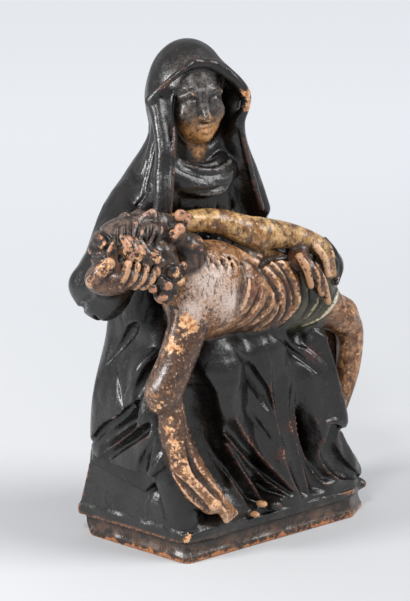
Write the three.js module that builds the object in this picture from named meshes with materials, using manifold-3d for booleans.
// A carved pieta: a seated woman in a hooded cloak holds a man's body across her lap, on a low moulded base.
// One block of wood. Millimetres, +Z up, the front faces -Y, the origin is at the middle of the underside.
import * as THREE from "three";
import Module from "manifold-3d";

const wasm = await Module();
wasm.setup();

// The base, whose right front corner is cut off.
const BASE_FRONT_LEFT = 64; // from the middle to the left front corner
const BASE_FRONT_RIGHT = 64; // from the middle to where the corner cut begins
const BASE_RIGHT = 82;
const BASE_BACK_LEFT = 76.5;
const BASE_FRONT = 38;
const BASE_BACK = 45;
const CORNER_CUT = 11; // how far back the corner cut runs
const FOOT_BAND = 3.6; // the flat band on the floor
const LEDGE_HEIGHT = 14; // underside of the top slab
const BASE_TOP = 17;
const HOLLOW_DEPTH = 2.6;
const HOLLOW_STEPS = 6;
const WORN_CORNER = 6; // how far along each side the left front corner is rounded
const WEAR_STEPS = 4;

// The figures are drawn standing on a base top at DRAWN_FLOOR, then scaled to their own height.
const FIGURE_HEIGHT = 271;
const DRAWN_HEIGHT = 271;
const DRAWN_FLOOR = 17;
const FOOT_SINK = 3; // how far the figures' block goes down into the base
const SCALE = FIGURE_HEIGHT / DRAWN_HEIGHT;

// How finely the figures are worked.
const GRID_STEP = 1.8;
const FIGURE_TRIANGLES = 9400;
const PATH_STEPS = 3; // between two given places of a path
const REACH = 10; // how far from a form its distance is still kept

// The block of wood is a grid of distances to the carved surface, negative inside.
const LOW = [-130, -62, DRAWN_FLOOR - FOOT_SINK - 4];
const HIGH = [98, 54, DRAWN_FLOOR + DRAWN_HEIGHT + 6];
const COUNT = LOW.map((low, axis) => Math.ceil((HIGH[axis] - low) / GRID_STEP) + 1);
const field = new Float32Array(COUNT[0] * COUNT[1] * COUNT[2]).fill(REACH);

function smoothMin(a, b, blend) {
  if (blend <= 0) return Math.min(a, b);
  const near = Math.max(blend - Math.abs(a - b), 0) / blend;
  return Math.min(a, b) - (near * near * blend) / 4;
}

function stamp(form, blend, join) {
  const from = [0, 1, 2].map((axis) =>
    Math.max(0, Math.floor((form.low[axis] - REACH - LOW[axis]) / GRID_STEP)),
  );
  const to = [0, 1, 2].map((axis) =>
    Math.min(COUNT[axis] - 1, Math.ceil((form.high[axis] + REACH - LOW[axis]) / GRID_STEP)),
  );
  for (let k = from[2]; k <= to[2]; k++)
    for (let j = from[1]; j <= to[1]; j++)
      for (let i = from[0]; i <= to[0]; i++) {
        const cell = i + COUNT[0] * (j + COUNT[1] * k);
        const x = LOW[0] + i * GRID_STEP;
        const y = LOW[1] + j * GRID_STEP;
        const z = LOW[2] + k * GRID_STEP;
        field[cell] = join(field[cell], form.at(x, y, z), blend);
      }
}

const add = (form, blend = 0) => stamp(form, blend, smoothMin);
const cut = (form, blend = 0) => stamp(form, blend, (a, b, k) => -smoothMin(-a, b, k));

// A smooth path through points.
function smoothPath(points) {
  if (points.length < 3) return points;
  const curve = new THREE.CatmullRomCurve3(points.map((p) => new THREE.Vector3(...p)), false, "centripetal");
  const steps = PATH_STEPS * (points.length - 1);
  const path = [];
  for (let n = 0; n <= steps; n++) path.push(curve.getPoint(n / steps).toArray());
  return path;
}

// The value at a share, from 0 to 1, of the way along a list of numbers.
function along(values, share) {
  const place = share * (values.length - 1);
  const left = Math.min(Math.floor(place), values.length - 2);
  return values[left] + (values[left + 1] - values[left]) * (place - left);
}

// A round form along the points of a path, each with its own radius.
function tubeOf(path, radius) {
  const last = path.length - 1;
  const widest = Math.max(...radius);
  return {
    low: [0, 1, 2].map((axis) => Math.min(...path.map((p) => p[axis])) - widest),
    high: [0, 1, 2].map((axis) => Math.max(...path.map((p) => p[axis])) + widest),
    at(x, y, z) {
      let best = Infinity;
      for (let n = 0; n < last; n++) {
        const [ax, ay, az] = path[n];
        const bx = path[n + 1][0] - ax;
        const by = path[n + 1][1] - ay;
        const bz = path[n + 1][2] - az;
        const dot = (x - ax) * bx + (y - ay) * by + (z - az) * bz;
        const t = Math.min(1, Math.max(0, dot / (bx * bx + by * by + bz * bz)));
        const gap = Math.hypot(x - ax - t * bx, y - ay - t * by, z - az - t * bz);
        best = Math.min(best, gap - radius[n] - t * (radius[n + 1] - radius[n]));
      }
      return best;
    },
  };
}

// A round limb along a smooth path, its radius running evenly through the given values.
function limb(points, radii) {
  const path = smoothPath(points);
  return tubeOf(path, path.map((_, n) => along(radii, n / (path.length - 1))));
}

// An egg with three radii. Its turn gives the directions of its own x, y and z.
const UPRIGHT = [[1, 0, 0], [0, 1, 0], [0, 0, 1]];
function egg(centre, radii, turn = UPRIGHT) {
  const widest = Math.max(...radii);
  return {
    low: centre.map((v) => v - widest),
    high: centre.map((v) => v + widest),
    at(x, y, z) {
      const own = turn.map((d) => d[0] * (x - centre[0]) + d[1] * (y - centre[1]) + d[2] * (z - centre[2]));
      const once = Math.hypot(own[0] / radii[0], own[1] / radii[1], own[2] / radii[2]);
      const twice = Math.hypot(own[0] / radii[0] ** 2, own[1] / radii[1] ** 2, own[2] / radii[2] ** 2);
      return twice < 1e-9 ? -Math.min(...radii) : (once * (once - 1)) / twice;
    },
  };
}

// A body of rounded outlines, one for each height: [z, middle x, middle y, half width, half depth].
function tower(rows, power) {
  const top = rows.length - 1;
  const least = (of) => Math.min(...rows.map(of));
  return {
    low: [least((r) => r[1] - r[3]), least((r) => r[2] - r[4]), rows[0][0]],
    high: [-least((r) => -r[1] - r[3]), -least((r) => -r[2] - r[4]), rows[top][0]],
    at(x, y, z) {
      const height = Math.min(rows[top][0], Math.max(rows[0][0], z));
      let n = 0;
      while (n < top - 1 && height > rows[n + 1][0]) n++;
      const t = (height - rows[n][0]) / (rows[n + 1][0] - rows[n][0]);
      const [, cx, cy, rx, ry] = rows[n].map((v, i) => v + t * (rows[n + 1][i] - v));
      const out = (Math.abs((x - cx) / rx) ** power + Math.abs((y - cy) / ry) ** power) ** (1 / power);
      const side = (out - 1) * Math.min(rx, ry);
      return Math.max(side, z - rows[top][0], rows[0][0] - z);
    },
  };
}

// The distance and its slope at a place between the grid's points.
function sample(x, y, z) {
  const place = [x, y, z].map((v, axis) =>
    Math.min(COUNT[axis] - 1.001, Math.max(0, (v - LOW[axis]) / GRID_STEP)),
  );
  const [i, j, k] = place.map(Math.floor);
  const [u, v, w] = place.map((p) => p - Math.floor(p));
  let sum = 0;
  for (let n = 0; n < 8; n++) {
    const share = (n & 1 ? u : 1 - u) * (n & 2 ? v : 1 - v) * (n & 4 ? w : 1 - w);
    sum += share * field[i + (n & 1) + COUNT[0] * (j + ((n >> 1) & 1) + COUNT[1] * (k + (n >> 2)))];
  }
  return sum;
}

function slope(x, y, z) {
  const h = GRID_STEP;
  const g = [
    sample(x + h, y, z) - sample(x - h, y, z),
    sample(x, y + h, z) - sample(x, y - h, z),
    sample(x, y, z + h) - sample(x, y, z - h),
  ];
  const length = Math.hypot(...g) || 1;
  return g.map((v) => v / length);
}

// Brings a place on one side of the block in until it meets the wood. Only its other two coordinates count.
function press(point, axis, side) {
  const p = [...point];
  for (let depth = 0; depth < HIGH[axis] - LOW[axis]; depth += GRID_STEP / 2) {
    p[axis] = side > 0 ? HIGH[axis] - depth : LOW[axis] + depth;
    if (sample(...p) < 0) return p;
  }
  return point;
}
const fromFront = (pairs) => pairs.map(([x, z]) => press([x, 0, z], 1, -1));
const fromLeft = (pairs) => pairs.map(([y, z]) => press([0, y, z], 0, -1));
const straight = (points) => points;

// Brings each point of a path onto the carved surface.
function settle(points) {
  return points.map((point) => {
    let p = point;
    for (let n = 0; n < 10; n++) {
      const d = sample(...p);
      const g = slope(...p);
      p = p.map((v, axis) => v - 0.8 * d * g[axis]);
    }
    return p;
  });
}

// Settles all the strokes on the uncarved surface first, and then cuts and raises them in turn. A stroke is
// as deep or high as stated where it is widest, and fades out with its width.
const FADE = 1.4;
const LEAST_RADIUS = 0.9; // finer work than this doesn't show on the grid
function carve(strokes) {
  const ready = strokes.map(([tool, view, places, radii, amount, blend]) => {
    const path = settle(smoothPath(view(places)));
    return { tool, path, out: path.map((p) => slope(...p)), radii, amount, blend };
  });
  for (const { tool, path, out, radii, amount, blend } of ready) {
    const widest = Math.max(...radii);
    const radius = path.map((_, n) => Math.max(LEAST_RADIUS, along(radii, n / (path.length - 1))));
    const lifted = path.map((p, n) => {
      const depth = amount * (Math.min(1, radius[n] / widest)) ** FADE;
      const lift = tool === "gouge" ? radius[n] - depth : depth - radius[n];
      return p.map((v, axis) => v + lift * out[n][axis]);
    });
    const stroke = tubeOf(lifted, radius);
    if (tool === "gouge") cut(stroke, blend);
    else add(stroke, blend);
  }
}

const cross = (a, b) => [a[1] * b[2] - a[2] * b[1], a[2] * b[0] - a[0] * b[2], a[0] * b[1] - a[1] * b[0]];
const unit = (a) => a.map((v) => v / Math.hypot(...a));

// A set of own directions from where a head's back and its crown point.
function basis(back, up) {
  const y = unit(back);
  const x = unit(cross(y, up));
  return [x, y, cross(x, y)];
}

// Everything beyond a plane, up to a height: what a flat cut takes away.
function beyond(normal, offset, top) {
  return {
    low: LOW,
    high: [HIGH[0], HIGH[1], top],
    at: (x, y, z) => Math.max(offset - normal[0] * x - normal[1] * y - normal[2] * z, z - top),
  };
}

// A block between planes, each given by its outward direction and a point on it.
function slab(planes, low, high) {
  const flat = planes.map(([out, point]) => {
    const normal = unit(out);
    return [...normal, normal[0] * point[0] + normal[1] * point[1] + normal[2] * point[2]];
  });
  return { low, high, at: (x, y, z) => Math.max(...flat.map(([a, b, c, d]) => a * x + b * y + c * z - d)) };
}

const CORNERS = [
  [-BASE_FRONT_LEFT, -BASE_FRONT],
  [BASE_FRONT_RIGHT, -BASE_FRONT],
  [BASE_RIGHT, CORNER_CUT - BASE_FRONT],
  [BASE_RIGHT, BASE_BACK],
  [-BASE_BACK_LEFT, BASE_BACK],
];
// The base's upright walls: outward direction and offset.
const WALLS = CORNERS.map(([x0, y0], n) => {
  const [x1, y1] = CORNERS[(n + 1) % CORNERS.length];
  const [a, b] = unit([y1 - y0, x0 - x1]);
  return [a, b, a * x0 + b * y0];
});

// How far out of the base's plan a place is, as the figures are drawn.
function outside(x, y) {
  const out = WALLS.map(([a, b, offset]) => a * x + b * y - offset / SCALE);
  return Math.max(-smoothMin(-out[0], -out[4], WORN_CORNER), out[1], out[2], out[3]);
}

// The plain mass under the cloak's hem. Its sides lean in a little, and it slopes down to the base's front.
const GROUND_TOP = 52;
const GROUND_INSET = 0.6; // from the base's sides
const GROUND_LEAN = 0.1; // inwards, for each millimetre up
const GROUND_CORNER = [-54, -38, 18]; // the slope starts here
const GROUND_ROUNDING = 14; // where the side turns into the slope
function ground() {
  const slopes = slab([[[0.05, -0.62, 0.77], GROUND_CORNER]]);
  add({
    low: [-81, -42, LOW[2]],
    high: [84, 48, GROUND_TOP],
    at: (x, y, z) => {
      const lean = outside(x, y) + GROUND_INSET + GROUND_LEAN * (z - DRAWN_FLOOR);
      return Math.max(-smoothMin(-lean, -slopes.at(x, y, z), GROUND_ROUNDING), z - GROUND_TOP);
    },
  }, 1.5);
  add(egg([-43, -30, 17], [19, 8, 7]), 4);
}

// The cloak over the seat and the legs, with the two knees.
function skirt() {
  const rows = [
    [12, 6, 3, 73, 41],
    [24, 5, 5, 72, 38.5],
    [36, 0, 8, 72, 35],
    [52, -6, 10, 72, 32.5],
    [84, -10, 11, 66, 31.5],
    [115, -11, 12, 55, 30.5],
    [132, -13, 14, 50, 26],
    [152, -16, 15, 36, 19],
  ];
  add(tower(rows, 6), 3);
  add(limb([[-22, 8, 112], [-30, -18, 109], [-28, -22, 84], [-10, -23, 34]], [24, 20, 17, 13]), 8);
  add(limb([[26, 6, 104], [30, -22, 98], [40, -25, 62], [48, -22, 28]], [20, 17, 16, 15]), 8);
  add(limb([[2, -18, 110], [6, -24, 70], [20, -23, 28]], [20, 15, 14]), 10);
  add(limb([[36, -32, 112], [41, -35, 90], [48, -35, 72], [52, -34, 62]], [8, 8, 7.5, 6]), 4);
  add(limb([[50, -20, 42], [68, -20, 26]], [15, 12]), 8);
  add(limb([[-60, -6, 104], [-64, -13, 78], [-62, -20, 54], [-54, -24, 34]], [12, 12, 13, 13]), 6);
}

// Her trunk, shoulders and arms under the cloak.
function trunk() {
  const rows = [
    [112, -18, 16, 36, 17],
    [140, -18, 18, 38, 21],
    [160, -19, 18, 37, 24],
    [190, -19, 17, 36, 24],
    [204, -20, 16, 33, 22],
    [216, -22, 14, 25, 18],
    [232, -23, 13, 15, 14],
  ];
  add(tower(rows, 2.4), 8);
  add(limb([[-38, 21, 204], [-57, 19, 188], [-80, 6, 166]], [17, 17.5, 17]), 8);
  add(egg([-91, 2, 156], [15, 18, 17]), 8);
  add(limb([[-98, 8, 158], [-92, 0, 147]], [9, 8]), 4);
  add(limb([[0, 15, 198], [22, 12, 173], [46, 3, 151]], [14, 13.5, 12]), 8);
  add(limb([[46, 3, 151], [56, -16, 148]], [12, 11]), 6);
}

// The hood stands off from her head, and its edges run down over the chest.
const FACE_BACK = [0.3, 0.95, 0.04];
const FACE_UP = [-0.1, 0, 1];
function hood() {
  const turned = basis(FACE_BACK, [0, 0, 1]);
  add(egg([-21, 13, 258.4], [23, 22.5, 28.4]), 4);
  add(egg([-13, -1, 259.5], [15, 13, 14], turned), 6);
  add(limb([[-30, 13, 252], [-31, 15, 232], [-38, 18, 208]], [15, 12.5, 15]), 8);
  add(limb([[-41, 5, 251], [-43, 4, 232], [-49, 3, 204]], [9, 10, 12]), 6);
  add(limb([[-12, 12, 252], [-9, 10, 230], [0, 10, 204]], [16, 11, 13]), 8);
  add(limb([[-6, -6, 244], [-1, -6, 226], [10, -3, 204], [20, 0, 186]], [5, 5, 6, 7]), 6);
  cut(egg([-24, -10, 249], [21.5, 20, 25], turned), 2);
  cut(egg([-27, -16, 228], [20, 13, 22], turned), 4);
  add(limb([[-1, -9, 257], [-1, -4, 249], [-3, -7, 239]], [3, 4, 3]), 4);
  add(limb([[-54, 6, 256], [-50, 0, 263], [-42, -5, 271], [-32, -7, 276]], [2.4, 2, 2.2, 2.6]), 3);
  const peak = [[-32, -7, 276], [-21, -11, 274], [-10, -14.5, 266]];
  const cheek = [[-3, -16, 257], [-2, -14, 248], [-4, -11, 240]];
  add(limb([...peak, ...cheek], [2.6, 3.4, 3.2, 3, 2.6, 2.4]), 3);
}

// A head with calm, regular features, seen here as the carver lays it out. The lines between hair, brow, nose
// and chin divide the face in three, the eyes lie halfway up the head and one eye's width apart.
function head(middle, turn, size) {
  const own = (x, y, z) =>
    middle.map((v, n) => v + size * (x * turn[0][n] + y * turn[1][n] + z * turn[2][n]));
  const lump = (x, y, z, rx, ry, rz) => egg(own(x, y, z), [rx * size, ry * size, rz * size], turn);
  const strip = (points, radii) => limb(points.map((p) => own(...p)), radii.map((r) => r * size));
  add(lump(0, 4, 8, 17, 19, 18), 2);
  add(lump(0, -2, -3, 14.5, 14, 20), 4);
  add(lump(0, -6, -13, 10, 9, 9), 4);
  add(lump(0, -13, -18, 4.5, 4, 4), 3);
  for (const side of [-1, 1]) {
    add(lump(side * 8.5, -11.5, -6, 4.5, 4, 5), 4);
    add(strip([[side * 2, -16, 4.6], [side * 6.5, -16, 6], [side * 11.5, -12, 4]], [1.4, 1.5, 1.2]), 2);
    cut(lump(side * 6.2, -16.8, 1, 4.2, 2.6, 2.7), 1.5);
    add(lump(side * 6.2, -12.6, 0.6, 3.8, 3.2, 2.6), 0.5);
  }
  add(strip([[0, -15, 4.5], [0, -17.8, -2.5], [0, -20, -7.6]], [1.5, 1.8, 2.3]), 1.5);
  for (const side of [-1, 1]) add(lump(side * 2.4, -17, -8.2, 1.6, 2, 1.5), 1);
  add(strip([[-4.6, -14.6, -13], [0, -17.2, -12.2], [4.6, -14.6, -13]], [0.8, 1.4, 0.8]), 1);
  add(strip([[-3.8, -14.6, -14.8], [0, -16.8, -15.3], [3.8, -14.6, -14.8]], [0.8, 1.5, 0.8]), 1);
  cut(strip([[-5, -16, -13.8], [0, -18.6, -13.7], [5, -16, -13.8]], [0.5, 0.6, 0.5]), 0.5);
}

function womanHead() {
  add(limb([[-25, 8, 238], [-24, 8, 212]], [9.5, 11]), 3);
  head([-24.5, 4, 253.5], basis(FACE_BACK, FACE_UP), 1);
  add(egg([-25, 8, 267], [15.5, 17, 12], basis(FACE_BACK, FACE_UP)), 0.8);
}

// The cloth round her neck, in slack folds.
function wimple() {
  add(egg([-25, 0, 196], [24, 9, 14]), 5);
  const low = [[-50, -3, 218], [-40, -8, 213], [-28, -10, 211], [-14, -8, 213], [-3, 0, 218]];
  add(limb(low, [7, 7.5, 7.5, 7.5, 7]), 3);
  const high = [[-45, -3, 225], [-35, -8, 221], [-25, -9.5, 219.5], [-14, -7, 222], [-7, 0, 226]];
  add(limb(high, [4, 5, 5.2, 5, 4]), 1.5);
  add(limb([[-44, -6, 221], [-33, -13, 217], [-22, -14.5, 216], [-10, -11, 219]], [1.2, 2.2, 2.4, 1.4]), 1);
  add(limb([[-49, -8, 215], [-39, -14, 210], [-28, -16, 209], [-18, -15, 211]], [1.4, 2.4, 2.4, 1.2]), 1);
  add(limb([[-43, -11, 206.5], [-32, -16, 204.6], [-21, -16.5, 205], [-9, -11, 209]], [1.2, 2, 2.2, 1.2]), 1);
}

// The hood's two edges hang down over the chest as narrow bands.
function veil() {
  const left = [[-51, 4, 253], [-53, -3, 241], [-55, -7, 229], [-58, -10, 214], [-60, -12, 197]];
  add(limb(left, [4, 4.4, 4.2, 4.6, 5]), 5);
  add(limb([[-4, -11, 241], [0, -10, 226], [9, -8, 209], [18, -6, 188]], [2.6, 3.4, 4, 5]), 4);
  add(limb([[-48, -8, 242], [-52, -12, 228], [-56, -15.5, 212], [-58.5, -17, 198]], [1.4, 1.8, 1.9, 1.8]), 1);
  add(limb([[-5, -14, 238], [-2, -15, 226], [5, -13, 209], [12, -13, 190]], [1.4, 1.8, 1.8, 1.8]), 1);
}

// The man's body lies across her lap, his head to the left.
function manBody() {
  add(egg([-38, -25, 153], [29, 22, 27]), 6);
  add(egg([-6, -25, 149], [34, 20, 23.5]), 8);
  add(egg([28, -25, 141], [27, 18, 21]), 8);
  add(limb([[-50, -24, 170], [-66, -23, 182]], [11, 9]), 6);
}

function manLegs() {
  const front = [[36, -27, 136], [60, -28, 123], [68, -28, 111], [66, -29, 88], [59, -27, 62], [54, -22, 36]];
  const rear = [[36, -12, 134], [64, -13, 123], [71, -13, 109], [67, -14, 84], [60, -14, 58], [56, -14, 34]];
  for (const path of [front, rear]) {
    add(limb(path.slice(0, 2), [13, 10.5]), 5);
    add(limb(path.slice(1), [10, 8.5, 7, 5, 4]), 3);
  }
}

// His head is tipped right back, the hair hangs from it, and the beard and the loose hair below are in knobs.
const CURLS = [
  [-88, -40, 180, 4.2], [-77, -42, 171, 4.6], [-73, -42, 166, 3.8], [-81, -42, 164, 3.4], [-88, -39, 163, 3],
  [-82, -40, 158, 3.2], [-68, -38, 200, 3.4], [-65.5, -39, 196, 3.2], [-70.5, -40, 193, 3.3],
  [-74.5, -40, 190.5, 3],
];
function manHead() {
  head([-87, -22, 185.5], basis([-0.03, 0.36, -0.93], [-0.98, 0.1, -0.14]), 0.92);
  add(egg([-98, -21, 182], [15.5, 15.5, 14]), 1.5);
  add(egg([-94, -24, 178], [17, 13, 12]), 3);
  add(egg([-66, -29, 190], [8, 8, 8]), 3);
  add(egg([-57, -32, 177], [10, 8, 11]), 3);
  for (let n = 0; n < 5; n++) {
    const x = -104 + 4.2 * n;
    const low = 181 - 1.6 * n;
    add(limb([[x - 2, -36, low + 12], [x - 0.5, -39.5, low + 6], [x + 1, -39.5, low]], [1.8, 2.4, 1.9]), 0.5);
  }
  add(limb([[-78, -34, 180], [-76, -36, 168], [-78, -36, 158]], [8, 8, 6]), 3);
  for (const [x, y, z, radius] of CURLS) add(egg([x, y, z], [radius, radius, radius]), 1);
}

// His near arm hangs to the ground, the far arm lies across his chest with a gap under it.
function manArms() {
  const hanging = [[-50, -29, 154], [-59, -32, 134], [-65, -31, 118], [-71, -29, 101], [-72, -28, 90]];
  add(limb(hanging, [14, 11, 10.4, 10.6, 10]), 5);
  add(limb([[-71, -28, 91], [-66.5, -31, 74], [-62, -34, 58], [-52, -38, 40]], [9.5, 7.8, 7.2, 6]), 3);
  add(limb([[-52, -38, 40], [-46, -38, 31], [-42, -37, 26]], [6, 5.6, 4.6]), 2);
  for (let n = 0; n < 4; n++) {
    const tip = [-37 + 3.1 * n, -39 + 1.6 * n, 20];
    const knuckle = [-46 + 3 * n, -41 + n, 30 - n];
    add(limb([knuckle, [-40 + 3.1 * n, -41 + 1.6 * n, 24.5 - n], tip], [2.4, 2.2, 1.6]), 0.5);
  }
  add(limb([[-54, -13, 190], [-29, -20, 189], [-5, -29, 179]], [5.5, 7, 9.6]), 3);
  add(limb([[-5, -29, 180], [14, -32, 177], [31, -35, 171], [38, -37, 166]], [9.6, 7.5, 6, 5.2]), 1.5);
  cut(limb([[-16, -42, 163], [-3, -36, 166.5], [12, -36, 166.5], [24, -38, 166]], [1, 3, 3.4, 1.2]), 1);
}

// The far hand hangs over her cuff, its four fingers side by side.
function manHand() {
  add(limb([[33, -37, 169], [38, -40, 164]], [5, 4.6]), 1.5);
  for (let n = 0; n < 4; n++) {
    const x = 27 + 3.5 * n;
    const y = -45 + 2.2 * n;
    const tip = [x + 8, y + 0.5, 153 - 0.6 * n];
    add(limb([[x + 1, y + 3, 170 - n], [x + 5, y, 163 - n], tip], [2.4, 2.2, 1.7]), 0.4);
  }
}

// Her hand under his head, with the fingers round it, and her hand on his hip.
function womanHands() {
  add(limb([[-92, -2, 160], [-104, -22, 168]], [10, 9]), 4);
  add(egg([-106, -29, 174], [14, 8, 6.5], basis([0.2, 1, 0], [0.3, 0, 1])), 3);
  for (let n = 0; n < 5; n++) {
    const x = -121 + 6.3 * n;
    const z = 174.5 - 1.5 * n;
    add(limb([[x - 2.4, -34, z - 5], [x, -38, z], [x + 3, -39, z + 6]], [2.6, 2.9, n ? 2.3 : 3.2]), 0.4);
  }
  add(limb([[58, -6, 152], [54, -22, 152], [42, -33, 156]], [11, 10.5, 8.5]), 5);
  add(limb([[40, -36, 172], [47, -36, 164], [51, -37, 154], [46, -40, 146]], [1.6, 2.2, 2.4, 1.6]), 0.8);
  cut(limb([[40, -42, 167], [45, -42, 159], [44, -44, 149]], [1, 2, 1]), 0.6);
  add(limb([[22, -33, 168], [18, -38, 164]], [7, 6]), 2);
  for (const path of [
    [[15, -42, 166], [17, -46, 160], [20, -46.5, 149.5]],
    [[20, -43, 163], [23, -47, 156], [28, -47, 144]],
    [[25, -44, 159], [28, -47.5, 151], [33.5, -46.5, 138]],
  ])
    add(limb(path, [2.6, 2.5, 1.9]), 0.4);
}

// Strokes of the gouge and raised folds: tool, the side it is drawn from, places, radii, depth or height at
// the widest place, and how softly it meets the wood. From the front a place is x and z, from the left y and z.
const FRONT = [
  ["gouge", fromFront, [[-50, 114], [-47, 92], [-41, 68], [-33, 50], [-29, 42]], [4, 13, 14, 11, 4], 9, 3],
  ["gouge", fromFront, [[-37, 88], [-30, 73], [-19, 60], [-8, 48], [8, 33], [18, 22]],
    [1.4, 4, 4.5, 1.5], 4, 2],
  ["gouge", fromFront, [[-40, 84], [-32, 66], [-24, 50], [-5, 20]], [1.4, 2.6, 3, 1.4], 3, 2],
  ["gouge", fromFront, [[-34, 106], [-28, 90], [-19, 76], [-7, 62], [8, 50], [22, 34]],
    [1.5, 6, 7, 2], 2.6, 2],
  ["gouge", fromFront, [[-14, 112], [-8, 99], [-3, 86]], [1.4, 4.4, 1.4], 4.6, 2],
  ["gouge", fromFront, [[-2, 106], [1, 79], [7, 60], [16, 39], [30, 19]], [1.4, 5, 6, 2], 4.5, 2],
  ["gouge", fromFront, [[20, 97], [27, 77], [33, 59], [40, 42], [49, 30]], [1.4, 4, 4, 1.5], 3.6, 2],
  ["gouge", fromFront, [[28, 92], [34, 74], [39, 55]], [1.4, 3, 1.4], 2.6, 2],
  ["gouge", fromFront, [[1, 122], [16, 111], [27, 99]], [1.4, 3.4, 1.4], 3.6, 2],
  ["gouge", fromFront, [[46, 58], [45, 44], [57, 31], [78, 20]], [5, 6.5, 6, 2], 8, 2],
  ["raise", fromFront, [[-38, 107], [-36, 93], [-30, 79], [-20, 67], [-3, 50], [6, 41],
    [24, 21]], [2, 3, 2.4], 2.6, 4],
  ["raise", fromFront, [[8, 104], [17, 85], [22, 68], [26, 52], [30, 40]], [2, 3.4, 2], 2.2, 5],
  ["raise", fromFront, [[38, 112], [42, 94], [47, 78], [54, 62]], [1.6, 2.6, 2.6, 2.6], 2.4, 2],
  ["raise", fromFront, [[56, 52], [63, 40], [71, 30], [80, 21]], [2, 3, 3, 2], 3, 2],
];
const LEFT = [
  ["gouge", fromLeft, [[-2, 142], [11, 125], [28, 99]], [1.4, 5, 1.4], 5.5, 2],
  ["gouge", fromLeft, [[-14, 142], [-16, 125], [-13, 108], [-8, 93], [2, 81], [20, 68],
    [42, 54]], [4, 6, 5, 5, 1.5], 6, 2],
  ["gouge", fromLeft, [[16, 103], [6, 94], [-2, 87]], [1.4, 2.6, 1.4], 2.4, 2],
  ["gouge", fromLeft, [[14, 87], [30, 72]], [1.4, 2.4, 1.4], 2, 2],
  ["gouge", fromLeft, [[-16, 80], [-3, 64], [18, 48]], [1.4, 4, 2], 4, 2],
  ["gouge", fromLeft, [[-20, 72], [-16, 57], [-11, 40]], [1.4, 4, 2], 4, 2],
  ["raise", fromLeft, [[-4, 86], [8, 78], [24, 67], [38, 58]], [2, 3.2, 2.4], 2.6, 4],
  ["raise", fromLeft, [[-15, 82], [-4, 71], [13, 57], [32, 48]], [2, 3.2, 2.4], 2.6, 4],
  ["raise", fromLeft, [[-22, 60], [-20, 50], [-14, 40]], [1.6, 2.6, 1.6], 2.4, 3],
];
const CHEST = [
  ["gouge", straight, [[-52, 7, 236], [-55, 8, 222], [-58, 10, 211], [-54, 22, 215]],
    [1.4, 2.6, 2.6, 1.4], 2.2, 2],
  ["gouge", straight, [[-113, -14, 158], [-103, 4, 147], [-96, 14, 143]], [1.4, 2.6, 1.4], 2.4, 2],
  ["gouge", straight, [[-80, 20, 178], [-92, 12, 160]], [1.4, 2.4, 1.4], 1.6, 2],
  ["gouge", straight, [[-70, 26, 196], [-86, 20, 170]], [1.4, 2.4, 1.4], 1.4, 2],
];

// His ribs and the creases of the loincloth.
const RIBS = [
  [[-24, 172], [-14, 163], [-6, 152], [-1, 139], [1, 126]],
  [[-18, 173], [-6, 164], [3, 154], [7, 141], [6, 128]],
  [[-9, 171], [2, 162], [9, 150], [11, 138]],
  [[-27, 158], [-30, 149], [-34, 141]],
  [[-17, 153], [-22, 141], [-30, 131]],
  [[-10, 147], [-14, 137], [-22, 127]],
];
const HIP_CLOTH = [
  ["gouge", fromFront, [[15, 160], [18, 147], [14, 133]], [1.4, 2.6, 1.4], 2, 2],
  ["gouge", fromFront, [[31, 148], [31, 139], [25, 129]], [1.4, 2.6, 1.4], 2, 2],
  ["raise", fromFront, [[49, 141], [43, 135], [33, 128], [24, 124]], [1.8, 2.4, 2.4, 1.8], 1.8, 2],
  ["gouge", fromFront, [[-23, 172], [-26, 163], [-31, 153], [-34, 141]], [2, 5, 5, 2], 2.6, 2.5],
];

function manCarving() {
  const middle = (path) => Array(path.length - 2).fill(2.6);
  carve([
    ...HIP_CLOTH,
    ...RIBS.map((path) => ["gouge", fromFront, path, [1.4, ...middle(path), 1.4], 2, 2]),
  ]);
}

// The cloak ends in a slanting edge on the left, proud of the plain ground below it. In front of that edge
// the hem climbs steeply to where the arm hangs.
function hem() {
  const under = [[[0, -0.21, 1], [-70, -2, 37]], [[1, 0, 0], [-56, 0, 0]], [[0, -1, 0], [0, -7, 30]]];
  cut(slab(under, [-90, -20, LOW[2]], [-56, 50, 54]), 0.6);
  const climbing = [[[-0.2, 1, 1], [-64, -6, 37]], [[1, 0, 0], [-44, 0, 0]], [[0, 1, 0], [0, -6, 30]]];
  cut(slab(climbing, [-90, -50, LOW[2]], [-44, -6, 64]), 1);
}

const TRIM = 0.3; // the cut stays this far inside the base's side
const TRIM_TOP = 50;
// What stands out past the base's sides low down is taken off flush with them.
function trimSides() {
  const past = (x, y, z) => Math.max(-outside(x, y) - TRIM, z - TRIM_TOP);
  cut({ low: LOW, high: [HIGH[0], HIGH[1], TRIM_TOP], at: past }, 0.8);
}

// Four-cornered cells: each cube of the grid is six of them, along its six shortest ways from corner 0 to 7.
const CORNER_WAYS = [[0, 1, 3, 7], [0, 3, 2, 7], [0, 2, 6, 7], [0, 6, 4, 7], [0, 4, 5, 7], [0, 5, 1, 7]];
// For each set of inside corners: an even order of the four corners, inside ones first.
const ORDER = {
  1: [0, 1, 2, 3], 2: [1, 0, 3, 2], 4: [2, 3, 0, 1], 8: [3, 2, 1, 0],
  14: [0, 1, 2, 3], 13: [1, 0, 3, 2], 11: [2, 3, 0, 1], 7: [3, 2, 1, 0],
  3: [0, 1, 2, 3], 5: [0, 2, 3, 1], 9: [0, 3, 1, 2], 6: [1, 2, 0, 3], 10: [1, 3, 2, 0], 12: [2, 3, 0, 1],
};
const ONE_INSIDE = [[0, 1], [0, 2], [0, 3]];
const TWO_INSIDE = [[0, 2], [0, 3], [1, 3], [1, 2]];

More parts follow.
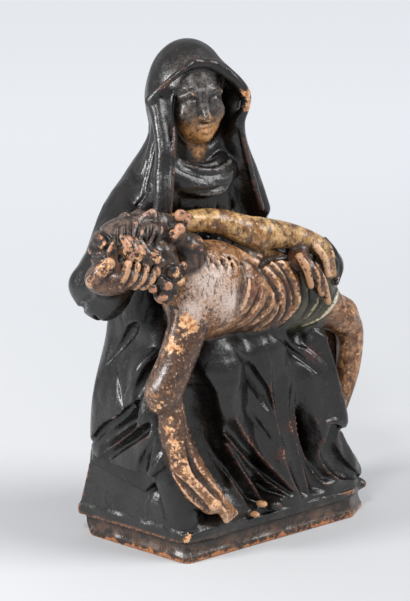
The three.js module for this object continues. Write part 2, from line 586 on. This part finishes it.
// The surface where the distance is zero, as points and triangles.
function surface() {
  const points = [];
  const triangles = [];
  const known = new Map();
  const cellOf = (cell, c) => cell + (c & 1) + COUNT[0] * (((c >> 1) & 1) + COUNT[1] * (c >> 2));
  function crossing(cell, a, b) {
    const low = a & b;
    const key = cellOf(cell, low) * 8 + (a ^ b);
    if (known.has(key)) return known.get(key);
    const fa = field[cellOf(cell, a)];
    const t = fa / (fa - field[cellOf(cell, b)]);
    const i = cell % COUNT[0];
    const j = Math.floor(cell / COUNT[0]) % COUNT[1];
    const k = Math.floor(cell / (COUNT[0] * COUNT[1]));
    const mix = (bit) => ((a >> bit) & 1) * (1 - t) + ((b >> bit) & 1) * t;
    points.push(...[i, j, k].map((v, axis) => LOW[axis] + (v + mix(axis)) * GRID_STEP));
    known.set(key, points.length / 3 - 1);
    return points.length / 3 - 1;
  }
  for (let k = 0; k < COUNT[2] - 1; k++)
    for (let j = 0; j < COUNT[1] - 1; j++)
      for (let i = 0; i < COUNT[0] - 1; i++) {
        const cell = i + COUNT[0] * (j + COUNT[1] * k);
        let inside = 0;
        for (let c = 0; c < 8; c++) if (field[cellOf(cell, c)] < 0) inside++;
        if (inside === 0 || inside === 8) continue;
        for (const way of CORNER_WAYS) {
          let set = 0;
          way.forEach((c, n) => {
            if (field[cellOf(cell, c)] < 0) set |= 1 << n;
          });
          if (set === 0 || set === 15) continue;
          const order = ORDER[set].map((n) => way[n]);
          const alone = [1, 2, 4, 8, 7, 11, 13, 14].includes(set);
          const ring = (alone ? ONE_INSIDE : TWO_INSIDE).map(([a, b]) => crossing(cell, order[a], order[b]));
          if ([7, 11, 13, 14].includes(set)) ring.reverse();
          triangles.push(ring[0], ring[1], ring[2]);
          if (!alone) triangles.push(ring[0], ring[2], ring[3]);
        }
      }
  return { points, triangles };
}

// Ends the figures a little below the base's top. A place that is no distance at all from the surface would
// give triangles without area, so none is left.
const LEAST_DISTANCE = 0.04;
function trimFoot() {
  const layer = COUNT[0] * COUNT[1];
  for (let n = 0; n < field.length; n++) {
    const height = LOW[2] + Math.floor(n / layer) * GRID_STEP;
    field[n] = Math.max(field[n], DRAWN_FLOOR - FOOT_SINK - height);
    if (Math.abs(field[n]) < LEAST_DISTANCE) field[n] = field[n] < 0 ? -LEAST_DISTANCE : LEAST_DISTANCE;
  }
}

// The queue of edges, the cheapest first.
class Queue {
  constructor() {
    this.items = [];
  }
  put(item) {
    const { items } = this;
    let n = items.push(item) - 1;
    while (n > 0) {
      const up = (n - 1) >> 1;
      if (items[up].cost <= item.cost) break;
      items[n] = items[up];
      n = up;
    }
    items[n] = item;
  }
  take() {
    const { items } = this;
    const first = items[0];
    const item = items.pop();
    const size = items.length;
    let n = 0;
    while (2 * n + 1 < size) {
      let down = 2 * n + 1;
      if (down + 1 < size && items[down + 1].cost < items[down].cost) down++;
      if (items[down].cost >= item.cost) break;
      items[n] = items[down];
      n = down;
    }
    if (size) items[n] = item;
    return first;
  }
}

// Merges the two ends of one edge after another, each time the edge whose loss moves the surface least, until
// the wished number of triangles is left. Each point carries the sum of the squared distances to its planes.
const EVENNESS = 0.002; // a small price on long edges, which keeps flat places from tearing into slivers
const LEAST_TURN = 0.3; // cosine of the most that a triangle may turn
function simplify({ points, triangles }, wished) {
  const count = points.length / 3;
  const at = Float64Array.from(points);
  const planes = new Float64Array(count * 10);
  const faces = Int32Array.from(triangles);
  const round = Array.from({ length: count }, () => []);
  const stampOf = new Int32Array(count);
  const gone = new Uint8Array(faces.length / 3);
  const v = (n) => [at[3 * n], at[3 * n + 1], at[3 * n + 2]];
  const normalOf = (a, b, c) => {
    const [ux, uy, uz] = [b[0] - a[0], b[1] - a[1], b[2] - a[2]];
    const [wx, wy, wz] = [c[0] - a[0], c[1] - a[1], c[2] - a[2]];
    return [uy * wz - uz * wy, uz * wx - ux * wz, ux * wy - uy * wx];
  };
  for (let f = 0; f < gone.length; f++) {
    const ids = [faces[3 * f], faces[3 * f + 1], faces[3 * f + 2]];
    const corners = ids.map(v);
    const normal = normalOf(...corners);
    const area = Math.hypot(...normal);
    const weight = (area / 2) * care(...corners[0]);
    const [a, b, c] = normal.map((n) => n / (area || 1));
    const d = -(a * corners[0][0] + b * corners[0][1] + c * corners[0][2]);
    const plane = [a * a, a * b, a * c, a * d, b * b, b * c, b * d, c * c, c * d, d * d];
    for (const id of ids) {
      round[id].push(f);
      for (let n = 0; n < 10; n++) planes[10 * id + n] += plane[n] * weight;
    }
  }
  function best(p, q) {
    const s = new Array(10);
    for (let n = 0; n < 10; n++) s[n] = planes[10 * p + n] + planes[10 * q + n];
    const a = v(p);
    const b = v(q);
    const middle = [(a[0] + b[0]) / 2, (a[1] + b[1]) / 2, (a[2] + b[2]) / 2];
    const loss = ([x, y, z]) =>
      s[0] * x * x + s[4] * y * y + s[7] * z * z + s[9] +
      2 * (s[1] * x * y + s[2] * x * z + s[5] * y * z + s[3] * x + s[6] * y + s[8] * z);
    const long = (a[0] - b[0]) ** 2 + (a[1] - b[1]) ** 2 + (a[2] - b[2]) ** 2;
    const hold = 1e-3 * (s[0] + s[4] + s[7]) + 1e-9;
    const [m0, m4, m7] = [s[0] + hold, s[4] + hold, s[7] + hold];
    const r = [-s[3] + hold * middle[0], -s[6] + hold * middle[1], -s[8] + hold * middle[2]];
    const c0 = m4 * m7 - s[5] * s[5];
    const c1 = s[2] * s[5] - s[1] * m7;
    const c2 = s[1] * s[5] - s[2] * m4;
    const whole = m0 * c0 + s[1] * c1 + s[2] * c2;
    const place = [
      (c0 * r[0] + c1 * r[1] + c2 * r[2]) / whole,
      (c1 * r[0] + (m0 * m7 - s[2] * s[2]) * r[1] + (s[1] * s[2] - m0 * s[5]) * r[2]) / whole,
      (c2 * r[0] + (s[1] * s[2] - m0 * s[5]) * r[1] + (m0 * m4 - s[1] * s[1]) * r[2]) / whole,
    ];
    const far = (place[0] - middle[0]) ** 2 + (place[1] - middle[1]) ** 2 + (place[2] - middle[2]) ** 2;
    const chosen = far < 4 * long ? place : middle;
    return { p, q, place: chosen, cost: loss(chosen) + EVENNESS * long, mark: stampOf[p] + stampOf[q] };
  }
  const neighbours = (p) => {
    const set = new Set();
    for (const f of round[p]) for (let n = 0; n < 3; n++) set.add(faces[3 * f + n]);
    set.delete(p);
    return set;
  };
  const turns = (p, q, place) =>
    round[p].some((f) => {
      const ids = [faces[3 * f], faces[3 * f + 1], faces[3 * f + 2]];
      if (ids.includes(q)) return false;
      const before = normalOf(...ids.map(v));
      const after = normalOf(...ids.map((id) => (id === p ? place : v(id))));
      const dot = before[0] * after[0] + before[1] * after[1] + before[2] * after[2];
      return dot < LEAST_TURN * Math.hypot(...before) * Math.hypot(...after) || Math.hypot(...after) < 1e-3;
    });
  const queue = new Queue();
  for (let p = 0; p < count; p++) for (const q of neighbours(p)) if (q > p) queue.put(best(p, q));
  let left = gone.length;
  while (left > wished && queue.items.length) {
    const { p, q, place, mark } = queue.take();
    if (stampOf[p] < 0 || stampOf[q] < 0 || mark !== stampOf[p] + stampOf[q]) continue;
    const ring = neighbours(q);
    const other = neighbours(p);
    const shared = [...other].filter((n) => ring.has(n)).length;
    if (!ring.has(p) || shared !== 2 || ring.size + other.size - shared < 5) continue;
    if (turns(p, q, place) || turns(q, p, place)) continue;
    for (const f of round[q]) {
      const ids = [faces[3 * f], faces[3 * f + 1], faces[3 * f + 2]];
      if (ids.includes(p)) {
        gone[f] = 1;
        left--;
        for (const id of ids) if (id !== q) round[id] = round[id].filter((other) => other !== f);
      } else {
        faces[3 * f + ids.indexOf(q)] = p;
        round[p].push(f);
      }
    }
    for (let n = 0; n < 10; n++) planes[10 * p + n] += planes[10 * q + n];
    at.set(place, 3 * p);
    stampOf[q] = -1;
    stampOf[p] += 1;
    for (const n of neighbours(p)) {
      queue.put(best(Math.min(p, n), Math.max(p, n)));
    }
  }
  return pack(at, faces, gone);
}

// Leaves out the merged points and triangles.
function pack(at, faces, gone) {
  const kept = new Map();
  const points = [];
  const triangles = [];
  for (let f = 0; f < gone.length; f++) {
    if (gone[f]) continue;
    for (let n = 0; n < 3; n++) {
      const id = faces[3 * f + n];
      if (!kept.has(id)) {
        kept.set(id, points.length / 3);
        points.push(at[3 * id], at[3 * id + 1], at[3 * id + 2]);
      }
      triangles.push(kept.get(id));
    }
  }
  return { points, triangles };
}

const solidOf = ({ points, triangles }) =>
  new wasm.Manifold(
    new wasm.Mesh({
      numProp: 3,
      vertProperties: Float32Array.from(points),
      triVerts: Uint32Array.from(triangles),
    }),
  );

// The figures, scaled to their height and set into the base.
function figures() {
  trimFoot();
  const { points, triangles } = simplify(surface(), FIGURE_TRIANGLES);
  const placed = points.map((value, n) => value * SCALE + (n % 3 === 2 ? BASE_TOP - DRAWN_FLOOR * SCALE : 0));
  const bodies = solidOf({ points: placed, triangles }).decompose();
  return bodies.reduce((big, one) => (one.volume() > big.volume() ? one : big));
}

// The base's plan, drawn in by the given distance on every side, with the worn left front corner rounded.
function plan(inset) {
  const corners = [
    [BASE_FRONT_RIGHT - inset * 0.3, -BASE_FRONT + inset],
    [BASE_RIGHT - inset, -BASE_FRONT + CORNER_CUT + inset * 0.3],
    [BASE_RIGHT - inset, BASE_BACK - inset],
    [-BASE_BACK_LEFT + inset, BASE_BACK - inset],
  ];
  const x = -BASE_FRONT_LEFT + inset;
  const y = -BASE_FRONT + inset;
  for (let n = 0; n <= WEAR_STEPS; n++) {
    const t = n / WEAR_STEPS;
    const along = (1 - t) * (1 - t) * WORN_CORNER;
    corners.push([x + t * t * WORN_CORNER - along * 0.12, y + along]);
  }
  return corners;
}

// The lower back corner on the left is worn off by one slanting plane.
const WORN_BACK = [0.705, -0.592, 0.39];
const WORN_BACK_AT = 74.4;

// The base is one ring of corners above another, with the hollow moulding between the foot band and the slab.
function base() {
  const rings = [[0, 0], [FOOT_BAND, 0]];
  for (let n = 0; n <= HOLLOW_STEPS; n++) {
    const angle = (n / HOLLOW_STEPS) * (Math.PI / 2);
    const height = FOOT_BAND + (LEDGE_HEIGHT - FOOT_BAND) * (1 - Math.cos(angle));
    rings.push([height, HOLLOW_DEPTH * Math.sin(angle)]);
  }
  rings.push([LEDGE_HEIGHT, 0], [BASE_TOP, 0]);
  const whole = loft(rings.map(([z, inset]) => plan(inset).map(([x, y]) => [x, y, z])));
  return whole.trimByPlane(WORN_BACK, -WORN_BACK_AT);
}

// Rings of corners, each above the last, closed to a solid.
function loft(rings) {
  const size = rings[0].length;
  const points = rings.flat(2);
  const triangles = [];
  for (let r = 0; r < rings.length - 1; r++)
    for (let n = 0; n < size; n++) {
      const a = r * size + n;
      const b = r * size + ((n + 1) % size);
      triangles.push(a, b, b + size, a, b + size, a + size);
    }
  const top = (rings.length - 1) * size;
  for (let n = 1; n < size - 1; n++) triangles.push(0, n + 1, n, top, top + n, top + n + 1);
  return solidOf({ points, triangles });
}

// Faces and hands keep more of the triangles, the plain back and the seat fewer.
const FINE_PLACES = [[-29, -8, 250, 26, 6], [-85, -30, 188, 30, 4], [36, -40, 158, 26, 3]];
const BACK_STARTS = 22;
function care(x, y, z) {
  if (y > BACK_STARTS) return 0.3;
  return FINE_PLACES.reduce(
    (most, [cx, cy, cz, radius, weight]) => (Math.hypot(x - cx, y - cy, z - cz) < radius ? weight : most),
    1,
  );
}

// The finished solid as a mesh.
function meshOf(solid, material, name) {
  const { numProp, vertProperties, triVerts } = solid.getMesh();
  const points = new Float32Array((vertProperties.length / numProp) * 3);
  for (let n = 0; n < points.length / 3; n++)
    points.set(vertProperties.subarray(n * numProp, n * numProp + 3), n * 3);
  const geometry = new THREE.BufferGeometry();
  geometry.setAttribute("position", new THREE.BufferAttribute(points, 3));
  geometry.setIndex(new THREE.BufferAttribute(new Uint32Array(triVerts), 1));
  geometry.computeVertexNormals();
  const mesh = new THREE.Mesh(geometry, material);
  mesh.name = name;
  return mesh;
}

skirt();
trunk();
carve([...FRONT, ...LEFT]);
hem();
trimSides();
ground();
hood();
womanHead();
wimple();
veil();
carve(CHEST);
manBody();
manLegs();
manCarving();
manHead();
manArms();
manHand();
womanHands();

const paintedWood = new THREE.MeshStandardMaterial({ color: 0x2b2420, roughness: 0.38, metalness: 0 });
const group = new THREE.Group();
group.name = "carved_pieta";
group.add(meshOf(figures().add(base()), paintedWood, "pieta"));

export default group;
